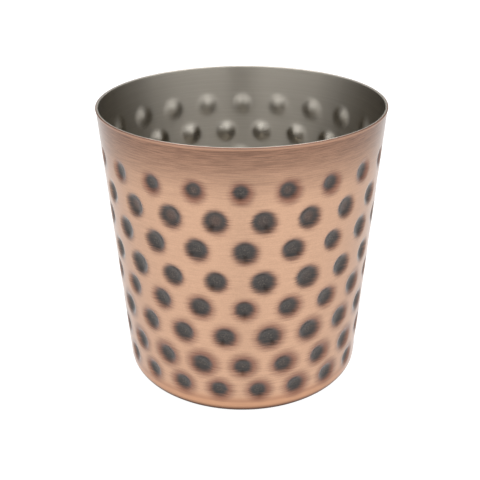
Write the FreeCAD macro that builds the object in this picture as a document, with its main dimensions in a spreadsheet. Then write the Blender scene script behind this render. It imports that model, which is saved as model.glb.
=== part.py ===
"""A hammered serving cup: a tapered steel cup in a thin copper jacket, with eight rows of punched dents.

Two closed solids nest face to face: steel_liner, whose lip turns over the jacket's top edge, and
copper_jacket, which also covers the underside. Each is the space between two dented cup forms.
Millimetres. The origin is the centre of the foot, +Z is up, and the front of the cup faces -Y.
"""
import FreeCAD, Part
import Sketcher
import math
import os

from FreeCAD import Placement, Rotation, Vector

SIZES = {
    "cup_height": 85.0,
    "rim_radius": 42.3,          # outside of the jacket's wall, where its line meets the cup's height
    "foot_radius": 36.7,         # the same line at the ground
    "corner_radius": 3.0,        # outside, between the wall and the underside
    "jacket_thickness": 0.25,
    "liner_thickness": 0.4,
    "lip_height": 0.3,           # steel that shows above the jacket's edge
    "lip_overhang": 0.1,         # how far the lip stands out from the jacket
    "lip_rounding": 0.2,
    "stand_radius": 31.0,        # inner edge of the flat ring that the cup stands on
    "underside_rise": 0.5,       # the underside is a shallow hollow inside that ring
    "punch_radius": 4.8,         # round nose of the punch that makes a dent
    "shoulder_radius": 1.8,      # soft edge round each dent
    "dents_per_row": 20,
    "lean_turn": -22.0,          # where the rows stand highest, in degrees round from the front
}

# Each row of dents, from the rim down. Height is its middle height. Twist turns it from an even
# spacing. Sway is the most that its dents are moved from the front and the back towards the sides,
# and a negative sway moves them the other way. Lean is how much higher than its middle height the
# row stands at lean_turn, and how much lower opposite. Depth is how far the punch goes in. Every
# other row starts half a step round.
ROWS = (
    # height, twist in degrees, sway in degrees, lean, depth
    (72.4, -0.5, -1.3, 0.2, 1.0),
    (63.4, -1.0, -0.2, 0.7, 1.3),
    (54.5, 1.0, 1.2, 0.7, 1.3),
    (45.0, -1.2, 1.0, 0.7, 1.3),
    (36.1, 0.8, 0.6, 0.7, 1.3),
    (26.7, 1.8, 1.0, 0.7, 1.3),
    (16.4, 0.0, 0.3, 0.7, 1.3),
    (8.0, -2.0, -0.5, 0.6, 1.1),
)
ROW_TRAITS = ("height", "twist", "sway", "lean", "depth")
PUNCH_LIFT = 0.06                # sets the flat shoulder of a punch against the round wall
CUT_CLEARANCE = 2.5              # how far a cutting tool reaches past the surface that it cuts
FRONT = -90.0                    # direction of the front about +Z, in degrees from +X
SAME_HEIGHT = 1e-6

H_AXIS, V_AXIS = -1, -2          # a sketch's own axes, as its constraints number them
START, END, CENTRE = 1, 2, 3     # the points of a line or an arc, likewise

# Expressions over the sheet. An inset is how far a surface lies in from the outside of the cup.
WALL_SLOPE = "((Dimensions.rim_radius - Dimensions.foot_radius) / Dimensions.cup_height)"
WALL_ANGLE = f"atan({WALL_SLOPE})"
JACKET_OUTSIDE = "0"
LINER_OUTSIDE = "Dimensions.jacket_thickness"
LINER_INSIDE = "(Dimensions.jacket_thickness + Dimensions.liner_thickness)"
LIP_OUTSIDE = "(0 - Dimensions.lip_overhang)"
JACKET_TOP = "(Dimensions.cup_height - Dimensions.lip_height)"
LIP_TOP = "Dimensions.cup_height"


def make_sheet():
    """The driving dimensions, one named cell each."""
    sheet = doc.addObject("Spreadsheet::Sheet", "Dimensions")
    cells = dict(SIZES)
    for number, row in enumerate(ROWS, start=1):
        for trait, value in zip(ROW_TRAITS, row):
            cells[f"row_{number}_{trait}"] = value
    for line, (name, value) in enumerate(cells.items(), start=1):
        sheet.set(f"A{line}", name)
        sheet.set(f"B{line}", str(value))
        sheet.setAlias(f"B{line}", name)
    doc.recompute()
    return sheet


def size(name):
    return float(sheet.get(name))


def wall_slope():
    return (size("rim_radius") - size("foot_radius")) / size("cup_height")


def wall_radius(height, inset):
    """The wall's radius at a height, on the surface at this inset."""
    return size("foot_radius") + wall_slope() * height - inset / math.cos(math.atan(wall_slope()))


def wall_radius_rule(height, inset):
    """The same radius as an expression over the sheet."""
    return (f"Dimensions.foot_radius + {WALL_SLOPE} * {height}"
            f" - {inset} / cos({WALL_ANGLE})")


def section_sketch(body, name):
    """A sketch on the body's XZ plane: its own x is the radius and its own y the height."""
    sketch = body.newObject("Sketcher::SketchObject", name)
    plane = next(item for item in body.Origin.OriginFeatures if item.Role == "XZ_Plane")
    sketch.AttachmentSupport = (plane, "")
    sketch.MapMode = "FlatFace"
    return sketch


def add_size(sketch, constraint, name, rule):
    """Add a constraint whose value follows an expression over the sheet."""
    index = sketch.addConstraint(constraint)
    sketch.renameConstraint(index, name)
    sketch.setExpression(f"Constraints.{name}", rule)


def revolve(body, sketch, name):
    turned = body.newObject("PartDesign::Revolution", name)
    turned.Profile = sketch
    turned.ReferenceAxis = (sketch, ["V_Axis"])
    turned.Angle = 360.0
    body.Tip = turned
    return turned


def cup_form(name, inset, inset_rule, top, top_rule):
    """The plain tapered solid inside the surface at this inset, up to a flat top.

    It is drawn standing on its own floor, and its Placement lifts it by the inset.
    """
    body = doc.addObject("PartDesign::Body", name)
    sketch = section_sketch(body, f"{name}_section")

    taper = math.atan(wall_slope())
    stand, rise = size("stand_radius"), size("underside_rise")
    hollow_radius = (stand ** 2 + rise ** 2) / (2 * rise)
    corner_radius = size("corner_radius") - inset
    top_radius, top_height = wall_radius(top, inset), top - inset
    foot = top_radius - wall_slope() * top_height
    corner = Vector(foot - corner_radius * (1 / math.cos(taper) - wall_slope()), corner_radius, 0)
    wall_foot = corner + Vector(math.cos(taper), -math.sin(taper), 0) * corner_radius
    normal = Vector(0, 0, 1)

    hollow = sketch.addGeometry(Part.ArcOfCircle(
        Part.Circle(Vector(0, rise - hollow_radius, 0), normal, hollow_radius),
        math.pi / 2 - math.asin(stand / hollow_radius), math.pi / 2))
    ring = sketch.addGeometry(Part.LineSegment(Vector(stand, 0, 0), Vector(corner.x, 0, 0)))
    bend = sketch.addGeometry(Part.ArcOfCircle(
        Part.Circle(corner, normal, corner_radius), -math.pi / 2, -taper))
    wall = sketch.addGeometry(Part.LineSegment(wall_foot, Vector(top_radius, top_height, 0)))
    lid = sketch.addGeometry(Part.LineSegment(
        Vector(top_radius, top_height, 0), Vector(0, top_height, 0)))
    axis = sketch.addGeometry(Part.LineSegment(Vector(0, top_height, 0), Vector(0, rise, 0)))

    rule = Sketcher.Constraint
    sketch.addConstraint([
        rule("Coincident", hollow, START, ring, START),
        rule("Tangent", ring, END, bend, START),
        rule("Tangent", bend, END, wall, START),
        rule("Coincident", wall, END, lid, START),
        rule("Coincident", lid, END, axis, START),
        rule("Coincident", axis, END, hollow, END),
        rule("PointOnObject", hollow, CENTRE, V_AXIS),
        rule("PointOnObject", hollow, END, V_AXIS),
        rule("PointOnObject", ring, START, H_AXIS),
        rule("PointOnObject", lid, END, V_AXIS),
        rule("Horizontal", ring),
        rule("Horizontal", lid),
    ])
    add_size(sketch, rule("DistanceX", ring, START, stand), "stand", "Dimensions.stand_radius")
    add_size(sketch, rule("DistanceY", hollow, END, rise), "rise", "Dimensions.underside_rise")
    add_size(sketch, rule("Radius", bend, corner_radius), "bend",
             f"Dimensions.corner_radius - {inset_rule}")
    add_size(sketch, rule("DistanceX", lid, START, top_radius), "top_radius",
             wall_radius_rule(top_rule, inset_rule))
    add_size(sketch, rule("DistanceY", lid, START, top_height), "top_height",
             f"{top_rule} - {inset_rule}")
    add_size(sketch, rule("Angle", wall, START, V_AXIS, START, taper), "taper", WALL_ANGLE)

    revolve(body, sketch, f"{name}_turned")
    body.setExpression("Placement.Base.z", inset_rule)
    return body


def punch(depth, inset):
    """One punch, turned about +X, with x = 0 on the outside of the wall.

    The round nose runs tangent into the soft shoulder, and the shoulder into a straight shank. At
    an inset the nose is larger and the shoulder tighter, so the metal keeps its thickness.
    """
    nose, shoulder = size("punch_radius"), size("shoulder_radius")
    centre = nose - depth
    shank = math.sqrt((nose + shoulder) ** 2 - (centre + shoulder) ** 2)
    inner_nose, inner_shoulder = nose + inset, shoulder - inset
    normal = Vector(0, 0, 1)

    nose_centre, shoulder_centre = Vector(centre, 0, 0), Vector(-shoulder, shank, 0)
    towards = (shoulder_centre - nose_centre).normalize()
    join_angle = math.atan2(towards.y, towards.x)
    nose_arc = Part.ArcOfCircle(
        Part.Circle(nose_centre, normal, inner_nose), join_angle, math.pi)
    shoulder_arc = Part.ArcOfCircle(
        Part.Circle(shoulder_centre, normal, inner_shoulder), join_angle - math.pi, 0.0)
    shank_start = Vector(-inset, shank, 0)
    shank_end = Vector(CUT_CLEARANCE, shank, 0)
    shank_centre = Vector(CUT_CLEARANCE, 0, 0)
    tip = Vector(centre - inner_nose, 0, 0)
    outline = Part.Wire(Part.__sortEdges__([
        nose_arc.toShape(),
        shoulder_arc.toShape(),
        Part.makeLine(shank_start, shank_end),
        Part.makeLine(shank_end, shank_centre),
        Part.makeLine(shank_centre, tip),
    ]))
    return Part.Face(outline).revolve(Vector(0, 0, 0), Vector(1, 0, 0), 360)


def punch_set(name, inset):
    """A punch at every dent, square to the wall."""
    count = int(size("dents_per_row"))
    step = 360.0 / count
    square_to_wall = Rotation(Vector(0, 1, 0), math.degrees(math.atan(wall_slope())))
    punches = []
    for row in range(1, len(ROWS) + 1):
        height, twist, sway, lean, depth = (size(f"row_{row}_{trait}") for trait in ROW_TRAITS)
        one = punch(depth, inset)
        half_step = 0.0 if row % 2 else step / 2
        for number in range(count):
            even = number * step + half_step
            turn = even + twist + sway * math.sin(math.radians(2 * even))
            level = height + lean * math.cos(math.radians(turn - size("lean_turn")))
            reach = Vector(wall_radius(level, 0) + PUNCH_LIFT, 0, level)
            about = Rotation(Vector(0, 0, 1), FRONT + turn)
            placed = one.copy()
            placed.Placement = Placement(about.multVec(reach), about.multiply(square_to_wall))
            punches.append(placed)
    tools = doc.addObject("Part::Feature", name)
    tools.Shape = Part.makeCompound(punches)
    return tools


def cut(name, base, tool):
    result = doc.addObject("Part::Cut", name)
    result.Base = base
    result.Tool = tool
    result.Refine = False
    return result


def dented(form, inset):
    return cut(f"{form.Name}_dented", form, punch_set(f"{form.Name}_punches", inset))


def make_lip():
    """The steel ring that closes the rim: it stands on both walls and is rounded along its top."""
    body = doc.addObject("PartDesign::Body", "lip")
    sketch = section_sketch(body, "lip_section")
    top, foot = size("cup_height"), size("cup_height") - size("lip_height")
    inside = size("jacket_thickness") + size("liner_thickness")
    outside = -size("lip_overhang")
    corners = [
        Vector(wall_radius(foot, inside), foot, 0),
        Vector(wall_radius(foot, outside), foot, 0),
        Vector(wall_radius(top, outside), top, 0),
        Vector(wall_radius(top, inside), top, 0),
    ]
    rules = [
        (JACKET_TOP, LINER_INSIDE),
        (JACKET_TOP, LIP_OUTSIDE),
        (LIP_TOP, LIP_OUTSIDE),
        (LIP_TOP, LINER_INSIDE),
    ]
    sides = [sketch.addGeometry(Part.LineSegment(corners[number], corners[(number + 1) % 4]))
             for number in range(4)]
    rule = Sketcher.Constraint
    for number, (height_rule, inset_rule) in enumerate(rules):
        side, corner = sides[number], corners[number]
        sketch.addConstraint(rule("Coincident", sides[number - 1], END, side, START))
        add_size(sketch, rule("DistanceX", side, START, corner.x), f"radius_{number}",
                 wall_radius_rule(height_rule, inset_rule))
        add_size(sketch, rule("DistanceY", side, START, corner.y), f"height_{number}",
                 height_rule)
    turned = revolve(body, sketch, "lip_turned")
    doc.recompute()

    top_edges = [f"Edge{number}" for number, edge in enumerate(turned.Shape.Edges, start=1)
                 if all(abs(vertex.Z - top) < SAME_HEIGHT for vertex in edge.Vertexes)]
    rounding = body.newObject("PartDesign::Fillet", "lip_rounding")
    rounding.Base = (turned, top_edges)
    rounding.setExpression("Radius", "Dimensions.lip_rounding")
    body.Tip = rounding
    return body


def check_and_export(nodes):
    """Stop on any failed object or bad shape; otherwise write one file per sub-part."""
    for item in doc.Objects:
        if "Invalid" in item.State or "Error" in item.State:
            raise RuntimeError(f"{item.Name} failed: {item.State}")
    for node in nodes:
        shape = node.Shape
        if shape.isNull() or not shape.isValid() or len(shape.Solids) != 1:
            raise RuntimeError(f"{node.Label} isn't one valid solid")
    os.makedirs("parts", exist_ok=True)
    for node in nodes:
        node.Shape.exportStep(f"parts/{node.Label}.step")
        print(f"{node.Label}: {node.Shape.Volume:.1f} mm3, {len(node.Shape.Faces)} faces")


doc = FreeCAD.newDocument("hammered_cup")
sheet = make_sheet()

jacket_top = size("cup_height") - size("lip_height")
cutter_top = size("cup_height") + CUT_CLEARANCE
liner_outside = size("jacket_thickness")
liner_inside = liner_outside + size("liner_thickness")

outer_form = dented(cup_form("outer_form", 0.0, JACKET_OUTSIDE, jacket_top, JACKET_TOP), 0.0)
middle_form = dented(cup_form("middle_form", liner_outside, LINER_OUTSIDE,
                              jacket_top, JACKET_TOP), liner_outside)
inner_form = dented(cup_form("inner_form", liner_inside, LINER_INSIDE,
                             cutter_top, f"({LIP_TOP} + {CUT_CLEARANCE})"), liner_inside)

copper_jacket = cut("copper_jacket", outer_form, middle_form)
liner_wall = cut("liner_wall", middle_form, inner_form)
steel_liner = doc.addObject("Part::Fuse", "steel_liner")
steel_liner.Base = liner_wall
steel_liner.Tool = make_lip()
steel_liner.Refine = False
doc.recompute()
check_and_export([steel_liner, copper_jacket])
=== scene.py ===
"""The looks of a hammered serving cup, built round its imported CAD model.

Two meshes stand for the two CAD shells: a steel liner, brushed inside, and a copper jacket, brushed
outside and darkened in its dents. Everything is in metres, with the cup's front towards -Y.
"""
import math
from collections import namedtuple

import bpy
import numpy as np
from mathutils import Matrix, Vector


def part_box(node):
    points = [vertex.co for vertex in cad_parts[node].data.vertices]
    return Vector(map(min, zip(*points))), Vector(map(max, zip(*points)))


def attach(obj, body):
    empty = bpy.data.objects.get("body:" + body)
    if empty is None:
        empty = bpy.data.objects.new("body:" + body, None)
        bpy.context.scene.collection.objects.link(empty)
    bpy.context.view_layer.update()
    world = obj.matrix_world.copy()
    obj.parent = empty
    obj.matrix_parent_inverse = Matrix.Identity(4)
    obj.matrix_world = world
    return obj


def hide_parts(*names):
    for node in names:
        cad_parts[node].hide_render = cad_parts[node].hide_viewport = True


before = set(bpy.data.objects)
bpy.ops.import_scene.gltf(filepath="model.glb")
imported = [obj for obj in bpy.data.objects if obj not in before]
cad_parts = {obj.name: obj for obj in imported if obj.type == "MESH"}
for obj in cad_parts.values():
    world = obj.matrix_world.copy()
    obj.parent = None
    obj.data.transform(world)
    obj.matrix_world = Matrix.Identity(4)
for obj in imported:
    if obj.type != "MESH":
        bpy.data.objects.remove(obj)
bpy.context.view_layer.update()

MM = 0.001

# --- The cup's sizes. Heights come from the frame; the rest repeat the CAD model's own dimensions.
LINER_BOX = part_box("steel_liner")
JACKET_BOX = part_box("copper_jacket")
CUP_HEIGHT = LINER_BOX[1].z
JACKET_TOP = JACKET_BOX[1].z
RIM_RADIUS = 42.3 * MM           # the wall's line, outside the jacket, at the cup's height
FOOT_RADIUS = 36.7 * MM          # the same line at the ground
CORNER_RADIUS = 3.0 * MM
JACKET = 0.25 * MM               # inset of the jacket's inner surface
WALL = 0.65 * MM                 # inset of the liner's inner surface
LIP_OVERHANG = 0.1 * MM
LIP_ROUNDING = 0.2 * MM
EDGE_ROUNDING = 0.08 * MM        # the jacket's top edge
STAND_RADIUS = 31.0 * MM         # the inner edge of the flat ring on which the cup stands
UNDERSIDE_RISE = 0.5 * MM        # how high the hollow inside that ring is

SLOPE = (RIM_RADIUS - FOOT_RADIUS) / CUP_HEIGHT
TAPER = math.atan(SLOPE)

# --- The dents
PUNCH_RADIUS = 4.8 * MM
SHOULDER_RADIUS = 1.8 * MM
BUMP_REACH = 4.4 * MM            # from the middle of a bump inside the cup to its soft edge
DENTS_PER_ROW = 20
LEAN_TURN = math.radians(-22.0)  # where round the cup the rows lie highest
# Each row from the rim down: height, twist and sway in degrees, lean and depth as in the CAD model.
DENT_ROWS = (
    (72.4 * MM, -0.5, -1.3, 0.2 * MM, 1.0 * MM),
    (63.4 * MM, -1.0, -0.2, 0.7 * MM, 1.3 * MM),
    (54.5 * MM, 1.0, 1.2, 0.7 * MM, 1.3 * MM),
    (45.0 * MM, -1.2, 1.0, 0.7 * MM, 1.3 * MM),
    (36.1 * MM, 0.8, 0.6, 0.7 * MM, 1.3 * MM),
    (26.7 * MM, 1.8, 1.0, 0.7 * MM, 1.3 * MM),
    (16.4 * MM, 0.0, 0.3, 0.7 * MM, 1.3 * MM),
    (8.0 * MM, -2.0, -0.5, 0.6 * MM, 1.1 * MM),
)
# In the same rows: the radius of the dark patch in each dent, the radius at which its halo ends,
# how far the halo lies above the dent, and how coppery the patch is in its middle, from 0 to 1.
PATCH_ROWS = (
    (2.1 * MM, 4.7 * MM, -0.3 * MM, 0.35),
    (3.0 * MM, 4.8 * MM, -0.2 * MM, 0.8),
    (2.9 * MM, 4.8 * MM, -0.2 * MM, 0.1),
    (3.1 * MM, 5.0 * MM, -0.1 * MM, 0.2),
    (2.7 * MM, 5.4 * MM, 0.1 * MM, 0.1),
    (3.0 * MM, 6.0 * MM, 0.2 * MM, 0.0),
    (2.7 * MM, 6.4 * MM, 0.5 * MM, 0.1),
    (2.5 * MM, 6.0 * MM, 0.3 * MM, 0.1),
)
HALO_SHIFT = 0.25 * MM           # how far the halos lie round towards +X, seen from the front
PATCH_SPREAD = 0.07              # how much the patches of a row differ in size
TONE_SPREAD = 0.35               # and in tone
FAR = 9.0                        # the reach of points that are on no dented wall
SCATTER_FACTORS = (12.9898, 78.233, 37.719)
SCATTER_STRETCH = 43758.5453

# --- How finely the meshes are divided
AROUND = 400                     # points in a ring
SEEN_STEP = 0.6 * MM             # between rings on the surfaces that can be seen
HIDDEN_STEP = 1.6 * MM           # and on those that lie between the two shells
FLOOR_RINGS = 14
CORNER_STEPS = 7
ROUNDING_STEPS = 4
SHARP_ANGLE = math.radians(50)


# ------------------------------------------------------------------ outlines

def wall_radius(height, inset):
    """How far the wall is from the axis, at an inset from the outside of the jacket."""
    return FOOT_RADIUS + SLOPE * height - inset / math.cos(TAPER)


def arc(centre, radius, start, end, steps):
    """Points from one angle to another, both ends included."""
    angles = np.linspace(start, end, steps + 1)
    return [(centre[0] + radius * math.cos(angle), centre[1] + radius * math.sin(angle))
            for angle in angles]


def cup_outline(inset, top, step):
    """Radius and height along one surface of the cup, from the middle of the floor to the top."""
    hollow_radius = (STAND_RADIUS ** 2 + UNDERSIDE_RISE ** 2) / (2 * UNDERSIDE_RISE)
    points = []
    for radius in np.linspace(0.0, STAND_RADIUS, FLOOR_RINGS + 1):
        drop = hollow_radius - math.sqrt(hollow_radius ** 2 - radius ** 2)
        points.append((radius, inset + UNDERSIDE_RISE - drop))
    corner = (FOOT_RADIUS + SLOPE * CORNER_RADIUS - CORNER_RADIUS / math.cos(TAPER), CORNER_RADIUS)
    points += arc(corner, CORNER_RADIUS - inset, -math.pi / 2, -TAPER, CORNER_STEPS)
    start = points[-1][1]
    steps = max(2, round((top - start) / step))
    for height in np.linspace(start, top, steps + 1)[1:]:
        points.append((wall_radius(height, inset), height))
    return points


def liner_outline():
    """Up the inside, round the lip, and down the surface that lies against the jacket."""
    inside = cup_outline(WALL, CUP_HEIGHT - LIP_ROUNDING, SEEN_STEP)
    outside = cup_outline(JACKET, JACKET_TOP, HIDDEN_STEP)
    inner_edge = wall_radius(CUP_HEIGHT, WALL) + LIP_ROUNDING
    outer_edge = wall_radius(CUP_HEIGHT, -LIP_OVERHANG) - LIP_ROUNDING
    middle = CUP_HEIGHT - LIP_ROUNDING
    lip = arc((inner_edge, middle), LIP_ROUNDING, math.pi, math.pi / 2, ROUNDING_STEPS)[1:]
    lip += arc((outer_edge, middle), LIP_ROUNDING, math.pi / 2, -TAPER, ROUNDING_STEPS)
    lip.append((wall_radius(JACKET_TOP, -LIP_OVERHANG), JACKET_TOP))
    return inside, lip, outside[::-1]


def jacket_outline():
    """Up the outside, over the thin top edge, and down the surface that lies against the liner."""
    outside = cup_outline(0.0, JACKET_TOP - EDGE_ROUNDING, SEEN_STEP)
    inside = cup_outline(JACKET, JACKET_TOP, HIDDEN_STEP)
    edge = (wall_radius(JACKET_TOP, 0.0) - EDGE_ROUNDING, JACKET_TOP - EDGE_ROUNDING)
    rounding = arc(edge, EDGE_ROUNDING, -TAPER, math.pi / 2, ROUNDING_STEPS)[1:]
    return outside, rounding, inside[::-1]


# ------------------------------------------------------------------ dents

# Height and turn about +Z of the middle, depth, and the four traits that PATCH_ROWS lists.
Dent = namedtuple("Dent", "height turn depth patch halo lift tone")


def scatter(*seeds):
    """A repeatable value from -1 to 1 that looks random."""
    mixed = sum(seed * factor for seed, factor in zip(seeds, SCATTER_FACTORS))
    return 2.0 * ((math.sin(mixed) * SCATTER_STRETCH) % 1.0) - 1.0


def dent_grid():
    """Every dent, row by row."""
    step = 360.0 / DENTS_PER_ROW
    dents = []
    for row, (height, twist, sway, lean, depth) in enumerate(DENT_ROWS):
        patch, halo, lift, tone = PATCH_ROWS[row]
        for number in range(DENTS_PER_ROW):
            even = number * step + (step / 2 if row % 2 else 0.0)
            turn = math.radians(even + twist + sway * math.sin(math.radians(2 * even)))
            level = height + lean * math.cos(turn - LEAN_TURN)
            growth = 1.0 + PATCH_SPREAD * scatter(row, number, 1)
            own_tone = tone + TONE_SPREAD * scatter(row, number, 2)
            dents.append(Dent(level, turn, depth, patch * growth, halo * growth, lift, own_tone))
    return dents


def dent_profile(distance, depth, inset):
    """How far a dent pushes the surface at this inset inwards, at a distance from its middle."""
    centre = PUNCH_RADIUS - depth
    reach = math.sqrt((PUNCH_RADIUS + SHOULDER_RADIUS) ** 2 - (centre + SHOULDER_RADIUS) ** 2)
    nose, shoulder = PUNCH_RADIUS + inset, SHOULDER_RADIUS - inset
    turn_over = nose * reach / (PUNCH_RADIUS + SHOULDER_RADIUS)
    on_nose = np.sqrt(np.maximum(nose ** 2 - distance ** 2, 0.0)) - centre - inset
    run = reach - distance
    on_shoulder = shoulder - np.sqrt(np.maximum(shoulder ** 2 - run ** 2, 0.0))
    return np.where(distance < turn_over, on_nose, np.where(distance < reach, on_shoulder, 0.0))


def bump_profile(distance, depth):
    """How far a dent stands out inside the cup, where the sheet has softened the punch's shape."""
    return depth / 2 * (1 + np.cos(np.pi * np.minimum(distance / BUMP_REACH, 1.0)))


def blank_fields(shape):
    """The fields that the materials read, for points that are on no dented wall.

    dent_reach is the distance from the middle of the nearest dent in patch radii, and halo_reach
    the distance from the middle of the nearest halo in halo radii. dent_up is how far the point
    lies above the middle of that dent in patch radii, and dent_tone the dent's own tone.
    """
    return {"dent_reach": np.full(shape, FAR), "halo_reach": np.full(shape, FAR),
            "dent_up": np.zeros(shape), "dent_tone": np.zeros(shape)}


def dent_wall(radius, height, turn, inset):
    """For points on a wall with this inset: how far they are pushed inwards, and their fields."""
    push = np.zeros_like(radius)
    fields = blank_fields(radius.shape)
    for dent in DENTS:
        along = (turn - dent.turn + math.pi) % (2 * math.pi) - math.pi
        across = radius * along
        up = (height - dent.height) / math.cos(TAPER)
        distance = np.hypot(across, up)
        if inset == WALL:
            push = np.maximum(push, bump_profile(distance, dent.depth))
        else:
            push = np.maximum(push, dent_profile(distance, dent.depth, inset))
        halo = np.hypot(across - HALO_SHIFT, up - dent.lift) / dent.halo
        fields["halo_reach"] = np.minimum(fields["halo_reach"], halo)
        reach = distance / dent.patch
        closer = reach < fields["dent_reach"]
        for label, value in (("dent_reach", reach), ("dent_up", up / dent.patch),
                             ("dent_tone", dent.tone)):
            fields[label] = np.where(closer, value, fields[label])
    return push, fields


DENTS = dent_grid()


# ------------------------------------------------------------------ meshes

def turned_section(outline, inset):
    """Rings of points from an outline turned about +Z, and the fields of those points.

    The dents are those of a wall with this inset. Where it is None, there are none.
    """
    turn = np.linspace(0.0, 2 * math.pi, AROUND, endpoint=False)
    radius = np.array([point[0] for point in outline])[:, None] + np.zeros_like(turn)
    height = np.array([point[1] for point in outline])[:, None] + np.zeros_like(turn)
    fields = blank_fields(radius.shape)
    if inset is not None:
        push, fields = dent_wall(radius, height, turn, inset)
        push = np.where(height > CORNER_RADIUS, push, 0.0)
        radius = radius - push * math.cos(TAPER)
        height = height + push * math.sin(TAPER)
    rings = np.stack([radius * np.sin(turn), -radius * np.cos(turn), height], axis=-1)
    return rings, fields


def per_vertex(rings):
    """One entry a vertex. The first and last rings lie on the axis, so each is a single vertex."""
    body = rings[1:-1].reshape(-1, *rings.shape[2:])
    return np.concatenate([rings[0, :1], body, rings[-1, :1]])


def closed_faces(ring_count):
    """Quads between the full rings, and a fan round the vertex on the axis at each end."""
    index = 1 + np.arange(ring_count * AROUND).reshape(ring_count, AROUND)
    following = np.roll(index, -1, axis=1)
    quads = np.stack([index[:-1], following[:-1], following[1:], index[1:]], axis=-1)
    final = 1 + ring_count * AROUND
    faces = quads.reshape(-1, 4).tolist()
    faces += [(0, b, a) for a, b in zip(index[0], following[0])]
    faces += [(final, a, b) for a, b in zip(index[-1], following[-1])]
    return faces


def turned_mesh(name, sections):
    """A closed mesh turned about +Z from outlines that follow on from each other.

    Each section is its outline and the inset that its dents follow, or None where it has none.
    """
    ring_sets, field_sets = zip(*[turned_section(*section) for section in sections])
    rings = np.concatenate(ring_sets)
    mesh = bpy.data.meshes.new(name)
    mesh.from_pydata(per_vertex(rings).tolist(), [], closed_faces(len(rings) - 2))
    for label in field_sets[0]:
        values = np.concatenate([fields[label] for fields in field_sets])
        layer = mesh.attributes.new(label, "FLOAT", "POINT")
        layer.data.foreach_set("value", per_vertex(values))
    mesh.shade_smooth()
    mesh.set_sharp_from_angle(angle=SHARP_ANGLE)
    mesh.update()
    piece = bpy.data.objects.new(name, mesh)
    bpy.context.scene.collection.objects.link(piece)
    return piece


def make_liner():
    inside, lip, outside = liner_outline()
    return turned_mesh("liner", [(inside, WALL), (lip, None), (outside, JACKET)])


def make_jacket():
    outside, edge, inside = jacket_outline()
    return turned_mesh("jacket", [(outside, 0.0), (edge, None), (inside, JACKET)])


# ------------------------------------------------------------------ nodes

class Nodes:
    """A node tree, with short calls for the few kinds of node that it needs."""

    def __init__(self, tree):
        self.tree = tree

    def plug(self, value, socket):
        """Link a node's output to a socket, or set the socket to a plain value."""
        if isinstance(value, bpy.types.NodeSocket):
            self.tree.links.new(value, socket)
        else:
            socket.default_value = value

    def node(self, kind, *values, **settings):
        """A new node with these settings, and these values in its inputs from the first one on."""
        made = self.tree.nodes.new(kind)
        for name, value in settings.items():
            setattr(made, name, value)
        for value, socket in zip(values, made.inputs):
            self.plug(value, socket)
        return made

    def math(self, operation, *values):
        return self.node("ShaderNodeMath", *values, operation=operation).outputs[0]

    def plus(self, first, second):
        return self.math("ADD", first, second)

    def minus(self, first, second):
        return self.math("SUBTRACT", first, second)

    def times(self, first, second):
        return self.math("MULTIPLY", first, second)

    def smooth(self, value, low, high, start=0.0, end=1.0):
        """A soft step from start, where value is low, to end, where it is high."""
        made = self.node("ShaderNodeMapRange", value, low, high, start, end,
                         interpolation_type="SMOOTHSTEP")
        return made.outputs[0]

    def fade(self, value, low, high, start=1.0):
        """A soft step from start, where value is low, down to 0, where it is high."""
        return self.smooth(value, low, high, start, 0.0)

    def noise(self, vector, scale, detail=2.0, roughness=0.5):
        made = self.node("ShaderNodeTexNoise")
        self.plug(vector, made.inputs["Vector"])
        self.plug(scale, made.inputs["Scale"])
        self.plug(detail, made.inputs["Detail"])
        self.plug(roughness, made.inputs["Roughness"])
        return made.outputs["Fac"]

    def place(self, kind):
        """The texture coordinates of this kind."""
        return self.node("ShaderNodeTexCoord").outputs[kind]

    def split(self, vector):
        """X, Y and Z of a vector."""
        return self.node("ShaderNodeSeparateXYZ", vector).outputs[:]


class Surface(Nodes):
    """A new material whose one shader is a Principled BSDF."""

    def __init__(self, name):
        self.material = bpy.data.materials.new(name)
        self.material.use_nodes = True
        super().__init__(self.material.node_tree)
        self.shader = self.tree.nodes["Principled BSDF"]

    def set(self, **values):
        """Fill the shader's sockets, named with underscores for spaces."""
        for name, value in values.items():
            self.plug(value, self.shader.inputs[name.replace("_", " ")])

    def attribute(self, name):
        return self.node("ShaderNodeAttribute", attribute_name=name).outputs["Fac"]

    def mix(self, factor, first, second):
        """A colour that is the first where the factor is 0, and the second where it is 1."""
        made = self.node("ShaderNodeMix", data_type="RGBA")
        self.plug(factor, made.inputs["Factor"])
        colours = [socket for socket in made.inputs if socket.type == "RGBA"]
        self.plug(first, colours[0])
        self.plug(second, colours[1])
        return next(socket for socket in made.outputs if socket.type == "RGBA")

    def height(self):
        return self.split(self.place("Object"))[2]

    def radius(self):
        """Distance from the cup's axis."""
        x, y, _ = self.split(self.place("Object"))
        return self.math("SQRT", self.plus(self.times(x, x), self.times(y, y)))

    def brush_lines(self, stretch):
        """Coordinates in which noise draws fine lines round the cup, `stretch` times as long as
        they are wide: level on the wall, even in its dents, and in rings on the floor."""
        x, y, z = self.split(self.place("Object"))
        ring = self.math("MINIMUM", self.radius(), FLOOR_EDGE)
        along = self.times(self.plus(ring, z), stretch)
        return self.node("ShaderNodeCombineXYZ", x, y, along).outputs[0]

    def bump(self, height, strength, distance):
        """A normal for a surface that stands out by the height, from 0 to 1, times the distance."""
        made = self.node("ShaderNodeBump")
        self.plug(strength, made.inputs["Strength"])
        self.plug(distance, made.inputs["Distance"])
        self.plug(height, made.inputs["Height"])
        return made.outputs[0]

    def tangent_round_axis(self):
        return self.node("ShaderNodeTangent", direction_type="RADIAL", axis="Z").outputs[0]


def srgb(red, green, blue):
    """A colour from its 0 to 255 screen values."""
    def linear(value):
        share = value / 255
        return share / 12.92 if share <= 0.04045 else ((share + 0.055) / 1.055) ** 2.4
    return (linear(red), linear(green), linear(blue), 1.0)


# ------------------------------------------------------------------ materials

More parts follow.
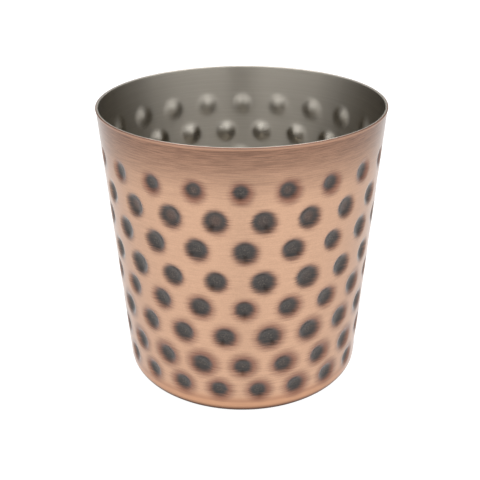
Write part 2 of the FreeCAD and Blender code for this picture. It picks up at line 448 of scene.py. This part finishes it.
WHITE = (1.0, 1.0, 1.0, 1.0)
FLOOR_GREY = (0.15, 0.15, 0.15, 1.0)
STEEL = srgb(176, 170, 160)
LIGHT_STEEL = srgb(182, 177, 167)
LIP_STEEL = srgb(186, 180, 170)
LIP_COPPER = srgb(136, 96, 76)
COPPER = srgb(201, 160, 131)
LIGHT_COPPER = srgb(212, 170, 140)
COPPER_SHINE = (0.6, 0.55, 0.52, 1.0)
BROWN = srgb(112, 78, 60)
LIGHT_BROWN = srgb(156, 116, 92)
GRAIN_BROWN = srgb(110, 74, 58)
EDGE_COPPER = srgb(178, 134, 108)
WARM_COPPER = srgb(200, 149, 114)
# Painted shade for a band just above the bottom corner.
PAINTED_CORNER_SHADE = srgb(156, 104, 76)
# Painted shade for the bottom corner, where it curves under towards the ground.
PAINTED_FOOT_SHADE = srgb(60, 28, 16)
HALO_RED = srgb(108, 57, 43)
PATINA = srgb(26, 20, 16)
# Patina lightened by a painted reflection, for the top of each dent.
PATINA_WITH_PAINTED_REFLECTION = srgb(34, 28, 24)
SCUFFED_PATINA = srgb(96, 78, 66)
WORN_PATINA = srgb(116, 106, 95)
COPPERY_PATINA = srgb(104, 70, 54)

# What counts as low and as high in a noise, for soft, for firm and for sparse marks.
SOFT = (0.3, 0.7)
FIRM = (0.35, 0.65)
SPARSE = (0.45, 0.7)

# Where changes begin and end: by height on the cup, apart from the second, which is by radius.
LIP_BAND = (JACKET_TOP, JACKET_TOP + 0.1 * MM)
LIP_OUTER_EDGE = (RIM_RADIUS - 0.3 * MM, RIM_RADIUS)
BUMP_ROWS = (66 * MM, 70 * MM)               # between the top row of bumps and the next
BROWN_BAND = (67 * MM, 85 * MM)
BRIGHT_EDGE = (JACKET_TOP - 0.6 * MM, JACKET_TOP - 0.4 * MM)
WARM_FOOT = (3.0 * MM, 8.0 * MM)
# The next two: a band of painted shade just above the bottom corner.
CORNER_SHADE_BELOW = (3.8 * MM, 4.7 * MM)
CORNER_SHADE_ABOVE = (4.7 * MM, 6.4 * MM)
# Painted shade at the bottom corner, where it curves under.
DARK_FOOT = (1.2 * MM, 3.2 * MM)
# And in a dent: by distance from its middle in patch radii, or in halo radii for the halo, by
# height above its middle in patch radii, and by tone.
BUMP_EDGE = (0.9, 1.3)
PATCH_EDGE = (0.65, 1.35)
PATCH_SCUFFS = (0.6, 1.2)
PATCH_MIDDLE = (0.2, 0.8)
HALO_FADE = (0.4, 1.0)
# Where the painted reflection lightens a dent towards its top.
PAINTED_REFLECTION_RISE = (-0.7, 0.5)
COPPERY_TONES = (0.2, 1.0)

# How strong each layer is, from 0 to 1.
BROWN_STRENGTH = 0.95
GRAIN_STRENGTH = 0.09
CORNER_SHADE_STRENGTH = 0.4
HALO_STRENGTH = 0.8
SCUFF_STRENGTH = 0.3
WEAR_STRENGTH = 0.4
COPPERY_STRENGTH = 0.45

FEATHERING = 0.6                             # how ragged the edge of a patch is
HALO_FEATHERING = 0.8                        # and that of a halo, as a share of it
STEEL_LINES = 90.0                           # the length of the brush lines over their width
COPPER_LINES = 30.0
LINE_DEPTH = 0.02 * MM
BAND_WANDER = 5 * MM                         # the height over which the brown band's edge strays
FLOOR_EDGE = 34.0 * MM                       # the walls and their dents lie outside this radius
ALONG_LINES = 0.25                           # the brushed highlight's turn, as a share of a circle

STEEL_ROUGHNESS = (0.4, 0.44)
BUMP_POLISH = (0.13, 0.07)                   # what bumps take off it, in lower rows and the top one
LIP_DULLNESS = 0.5
# Outside the patches and in them.
METALLIC = (1.0, 0.7)
COPPER_ROUGHNESS = (0.44, 0.42)
COAT_WEIGHT = (0.7, 1.0)


def steel_material():
    """Brushed steel, more polished on the bumps and duller on the lip."""
    nodes = Surface("brushed_steel_inside")
    height = nodes.height()
    lines = nodes.brush_lines(STEEL_LINES)
    fine = nodes.noise(lines, scale=60.0, detail=3.0, roughness=0.6)
    broad = nodes.noise(lines, scale=20.0)
    tint = nodes.mix(nodes.smooth(broad, *SOFT), STEEL, LIGHT_STEEL)
    tint = nodes.mix(nodes.smooth(fine, *SOFT), tint, STEEL)
    on_bump = nodes.fade(nodes.attribute("dent_reach"), *BUMP_EDGE)
    polish = nodes.times(on_bump, nodes.smooth(height, *BUMP_ROWS, *BUMP_POLISH))
    # The lip is bare metal, duller than the wall, and its outer edge has taken on some copper.
    on_lip = nodes.smooth(height, *LIP_BAND)
    lip = nodes.mix(nodes.smooth(nodes.radius(), *LIP_OUTER_EDGE), LIP_STEEL, LIP_COPPER)
    nodes.set(Base_Color=nodes.mix(on_lip, tint, lip),
              Metallic=nodes.minus(1.0, nodes.times(on_lip, LIP_DULLNESS)),
              Roughness=nodes.minus(nodes.smooth(fine, *SOFT, *STEEL_ROUGHNESS), polish),
              Anisotropic=0.93,
              Anisotropic_Rotation=ALONG_LINES,
              Tangent=nodes.tangent_round_axis(),
              Normal=nodes.bump(fine, strength=0.06, distance=LINE_DEPTH))
    return nodes.material


def plain_copper(nodes, height, foot, fine, broad, grain):
    """The colour between the dents: browner towards the rim, with painted shade in a band above the
    bottom corner and at the very bottom.
    """
    copper = nodes.mix(nodes.smooth(fine, *SOFT), COPPER, LIGHT_COPPER)
    wander = nodes.times(nodes.minus(broad, 0.5), BAND_WANDER)
    band = nodes.smooth(nodes.plus(height, wander), *BROWN_BAND)
    brown = nodes.mix(nodes.smooth(fine, *FIRM), BROWN, LIGHT_BROWN)
    copper = nodes.mix(nodes.times(band, BROWN_STRENGTH), copper, brown)
    copper = nodes.mix(nodes.smooth(grain, *FIRM, 0.0, GRAIN_STRENGTH), copper, GRAIN_BROWN)
    # A polished line runs along the very edge at the top.
    copper = nodes.mix(nodes.smooth(height, *BRIGHT_EDGE), copper, EDGE_COPPER)
    copper = nodes.mix(nodes.fade(height, *WARM_FOOT), copper, WARM_COPPER)
    # A band of painted shade just above the bottom corner.
    corner_shade = nodes.times(nodes.smooth(height, *CORNER_SHADE_BELOW),
                         nodes.fade(height, *CORNER_SHADE_ABOVE, CORNER_SHADE_STRENGTH))
    copper = nodes.mix(corner_shade, copper, PAINTED_CORNER_SHADE)
    # Painted shade at the bottom corner, where it curves under.
    return nodes.mix(foot, copper, PAINTED_FOOT_SHADE)


def dent_patina(nodes, reach, fine, grain):
    """The dark colour in a dent, lighter towards its top as a painted reflection, scuffed by the
    brush, and worn or coppery in its middle.
    """
    # Painted reflection: each dent is lighter towards its top and darker below.
    painted_reflection = nodes.smooth(nodes.attribute("dent_up"), *PAINTED_REFLECTION_RISE)
    patina = nodes.mix(painted_reflection, PATINA, PATINA_WITH_PAINTED_REFLECTION)
    scuffed = nodes.times(nodes.fade(reach, *PATCH_SCUFFS), nodes.smooth(fine, *SPARSE))
    patina = nodes.mix(nodes.times(scuffed, SCUFF_STRENGTH), patina, SCUFFED_PATINA)
    middle = nodes.fade(reach, *PATCH_MIDDLE)
    worn = nodes.times(middle, nodes.smooth(grain, *SPARSE))
    patina = nodes.mix(nodes.times(worn, WEAR_STRENGTH), patina, WORN_PATINA)
    tone = nodes.smooth(nodes.attribute("dent_tone"), *COPPERY_TONES, 0.0, COPPERY_STRENGTH)
    return nodes.mix(nodes.times(middle, tone), patina, COPPERY_PATINA)


def copper_material():
    """Brushed and coated copper. Each dent holds a dark patina with a reddish halo round it."""
    nodes = Surface("antique_copper_outside")
    height = nodes.height()
    lines = nodes.brush_lines(COPPER_LINES)
    fine = nodes.noise(lines, scale=180.0, detail=3.0, roughness=0.7)
    broad = nodes.noise(lines, scale=20.0)
    grain = nodes.noise(nodes.place("Object"), scale=2400.0, roughness=0.7)
    # Where painted shade darkens the bottom corner; the coat is left off there too.
    foot = nodes.fade(height, *DARK_FOOT)
    copper = plain_copper(nodes, height, foot, fine, broad, grain)

    # The brush has feathered the edges of the halo and the patina.
    ragged = nodes.times(nodes.minus(fine, 0.5), FEATHERING)
    halo_reach = nodes.plus(nodes.attribute("halo_reach"), nodes.times(ragged, HALO_FEATHERING))
    halo = nodes.fade(halo_reach, *HALO_FADE)
    copper = nodes.mix(nodes.times(halo, HALO_STRENGTH), copper, HALO_RED)
    reach = nodes.attribute("dent_reach")
    dark = nodes.fade(nodes.plus(reach, ragged), *PATCH_EDGE)
    patina = dent_patina(nodes, reach, fine, grain)

    coat = nodes.smooth(dark, 0.0, 1.0, *COAT_WEIGHT)
    nodes.set(Base_Color=nodes.mix(dark, copper, patina),
              Metallic=nodes.smooth(dark, 0.0, 1.0, *METALLIC),
              Roughness=nodes.smooth(dark, 0.0, 1.0, *COPPER_ROUGHNESS),
              Anisotropic=0.85,
              Anisotropic_Rotation=ALONG_LINES,
              Tangent=nodes.tangent_round_axis(),
              Normal=nodes.bump(fine, strength=0.12, distance=LINE_DEPTH),
              Specular_Tint=COPPER_SHINE,
              Sheen_Weight=0.35,
              Sheen_Roughness=0.3,
              Coat_Weight=nodes.times(coat, nodes.minus(1.0, foot)),
              Coat_Roughness=0.28)
    return nodes.material


def floor_material():
    """White even where the cup shades it."""
    nodes = Surface("pale_floor")
    nodes.set(Base_Color=FLOOR_GREY,
              Roughness=0.9,
              Emission_Color=WHITE,
              Emission_Strength=FLOOR_GLOW)
    return nodes.material


# ------------------------------------------------------------------ stage

CAMERA_DISTANCE = 250.6 * MM                 # from the middle of the cup
CAMERA_ELEVATION = math.radians(25.3)
CAMERA_ROLL = 0.0045                         # in radians
LENS_LENGTH = 59.5                           # in millimetres, as is the next
SENSOR_WIDTH = 36.0
LENS_SHIFT = (-0.0047, -0.0181)
CLIP_RANGE = (0.01, 50.0)

FLOOR_SIZE = 4.0
FLOOR_GLOW = 0.97

# The room's light, by direction. Y and Z are those of a unit direction, so that Y is -1 in front
# and Z is 1 overhead, and each pair is where a change begins and where it ends.
FRONT_LEVEL = 1.05
FRONT_FADE = (-0.6, 0.95)                    # by Y
ABOVE_LEVEL = 5.5                            # a bright ring high up
ABOVE_RISE = (0.7, 0.9)                      # by Z
ABOVE_FALL = (0.88, 0.98)                    # by Z, to the level straight overhead
OVERHEAD_LEVEL = 1.0
BACK_LEVEL = 0.04                            # added everywhere
SHAPES_PER_RADIAN = 6.0
SHAPES_LEVELS = (0.8, 1.15)                  # what the darkest and lightest multiply it by
DARK_TURN = 0.02                             # how far towards +X the middle of the dark shape is
DARK_SIDES = (0.06, 0.28)                    # its soft sides, in radians from its middle
DARK_TOP = (0.25, 0.55)                      # its soft top, by Z


def make_camera():
    """Above the front, looking down at the middle of the cup."""
    data = bpy.data.cameras.new("camera")
    data.lens = LENS_LENGTH
    data.sensor_width = SENSOR_WIDTH
    data.shift_x, data.shift_y = LENS_SHIFT
    data.clip_start, data.clip_end = CLIP_RANGE
    camera = bpy.data.objects.new("camera", data)
    bpy.context.scene.collection.objects.link(camera)
    middle = Vector((0, 0, CUP_HEIGHT / 2))
    back = Vector((0, -math.cos(CAMERA_ELEVATION), math.sin(CAMERA_ELEVATION)))
    camera.location = middle + back * CAMERA_DISTANCE
    turn = (-back).to_track_quat("-Z", "Y").to_matrix()
    camera.rotation_euler = (turn @ Matrix.Rotation(-CAMERA_ROLL, 3, "Z")).to_euler()
    bpy.context.scene.camera = camera


def make_world():
    """A soft room, brightest in front and above. Only the camera sees it as plain white."""
    world = bpy.data.worlds.new("studio")
    bpy.context.scene.world = world
    world.use_nodes = True
    nodes = Nodes(world.node_tree)
    x, y, z = nodes.split(nodes.place("Generated"))
    front = nodes.fade(y, *FRONT_FADE, FRONT_LEVEL)
    above = nodes.math("MINIMUM", nodes.smooth(z, *ABOVE_RISE, 0.0, ABOVE_LEVEL),
                       nodes.smooth(z, *ABOVE_FALL, ABOVE_LEVEL, OVERHEAD_LEVEL))
    level = nodes.plus(nodes.math("MAXIMUM", front, above), BACK_LEVEL)

    # Lighter and darker upright shapes stand round the room, and a low dark one in front.
    turn = nodes.math("ARCTAN2", nodes.minus(x, DARK_TURN), nodes.times(y, -1.0))
    round_room = nodes.node("ShaderNodeCombineXYZ", turn).outputs[0]
    shapes = nodes.noise(round_room, scale=SHAPES_PER_RADIAN, detail=1.0)
    level = nodes.times(level, nodes.smooth(shapes, *FIRM, *SHAPES_LEVELS))
    beside = nodes.smooth(nodes.math("ABSOLUTE", turn), *DARK_SIDES)
    level = nodes.times(level, nodes.math("MAXIMUM", beside, nodes.smooth(z, *DARK_TOP)))

    background = nodes.tree.nodes["Background"]
    background.inputs["Color"].default_value = WHITE
    seen = nodes.node("ShaderNodeLightPath").outputs["Is Camera Ray"]
    nodes.plug(nodes.math("MAXIMUM", level, seen), background.inputs["Strength"])


def make_stage():
    """The floor and the room."""
    bpy.ops.mesh.primitive_plane_add(size=FLOOR_SIZE)
    floor = bpy.context.object
    floor.name = "floor"
    floor.data.materials.append(floor_material())
    make_world()
    bpy.context.scene.view_settings.view_transform = "Standard"


# ------------------------------------------------------------------ the cup in its frame

make_camera()
make_stage()

liner = make_liner()
liner.data.materials.append(steel_material())
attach(liner, "root")
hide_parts("steel_liner")

jacket = make_jacket()
jacket.data.materials.append(copper_material())
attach(jacket, "root")
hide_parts("copper_jacket")
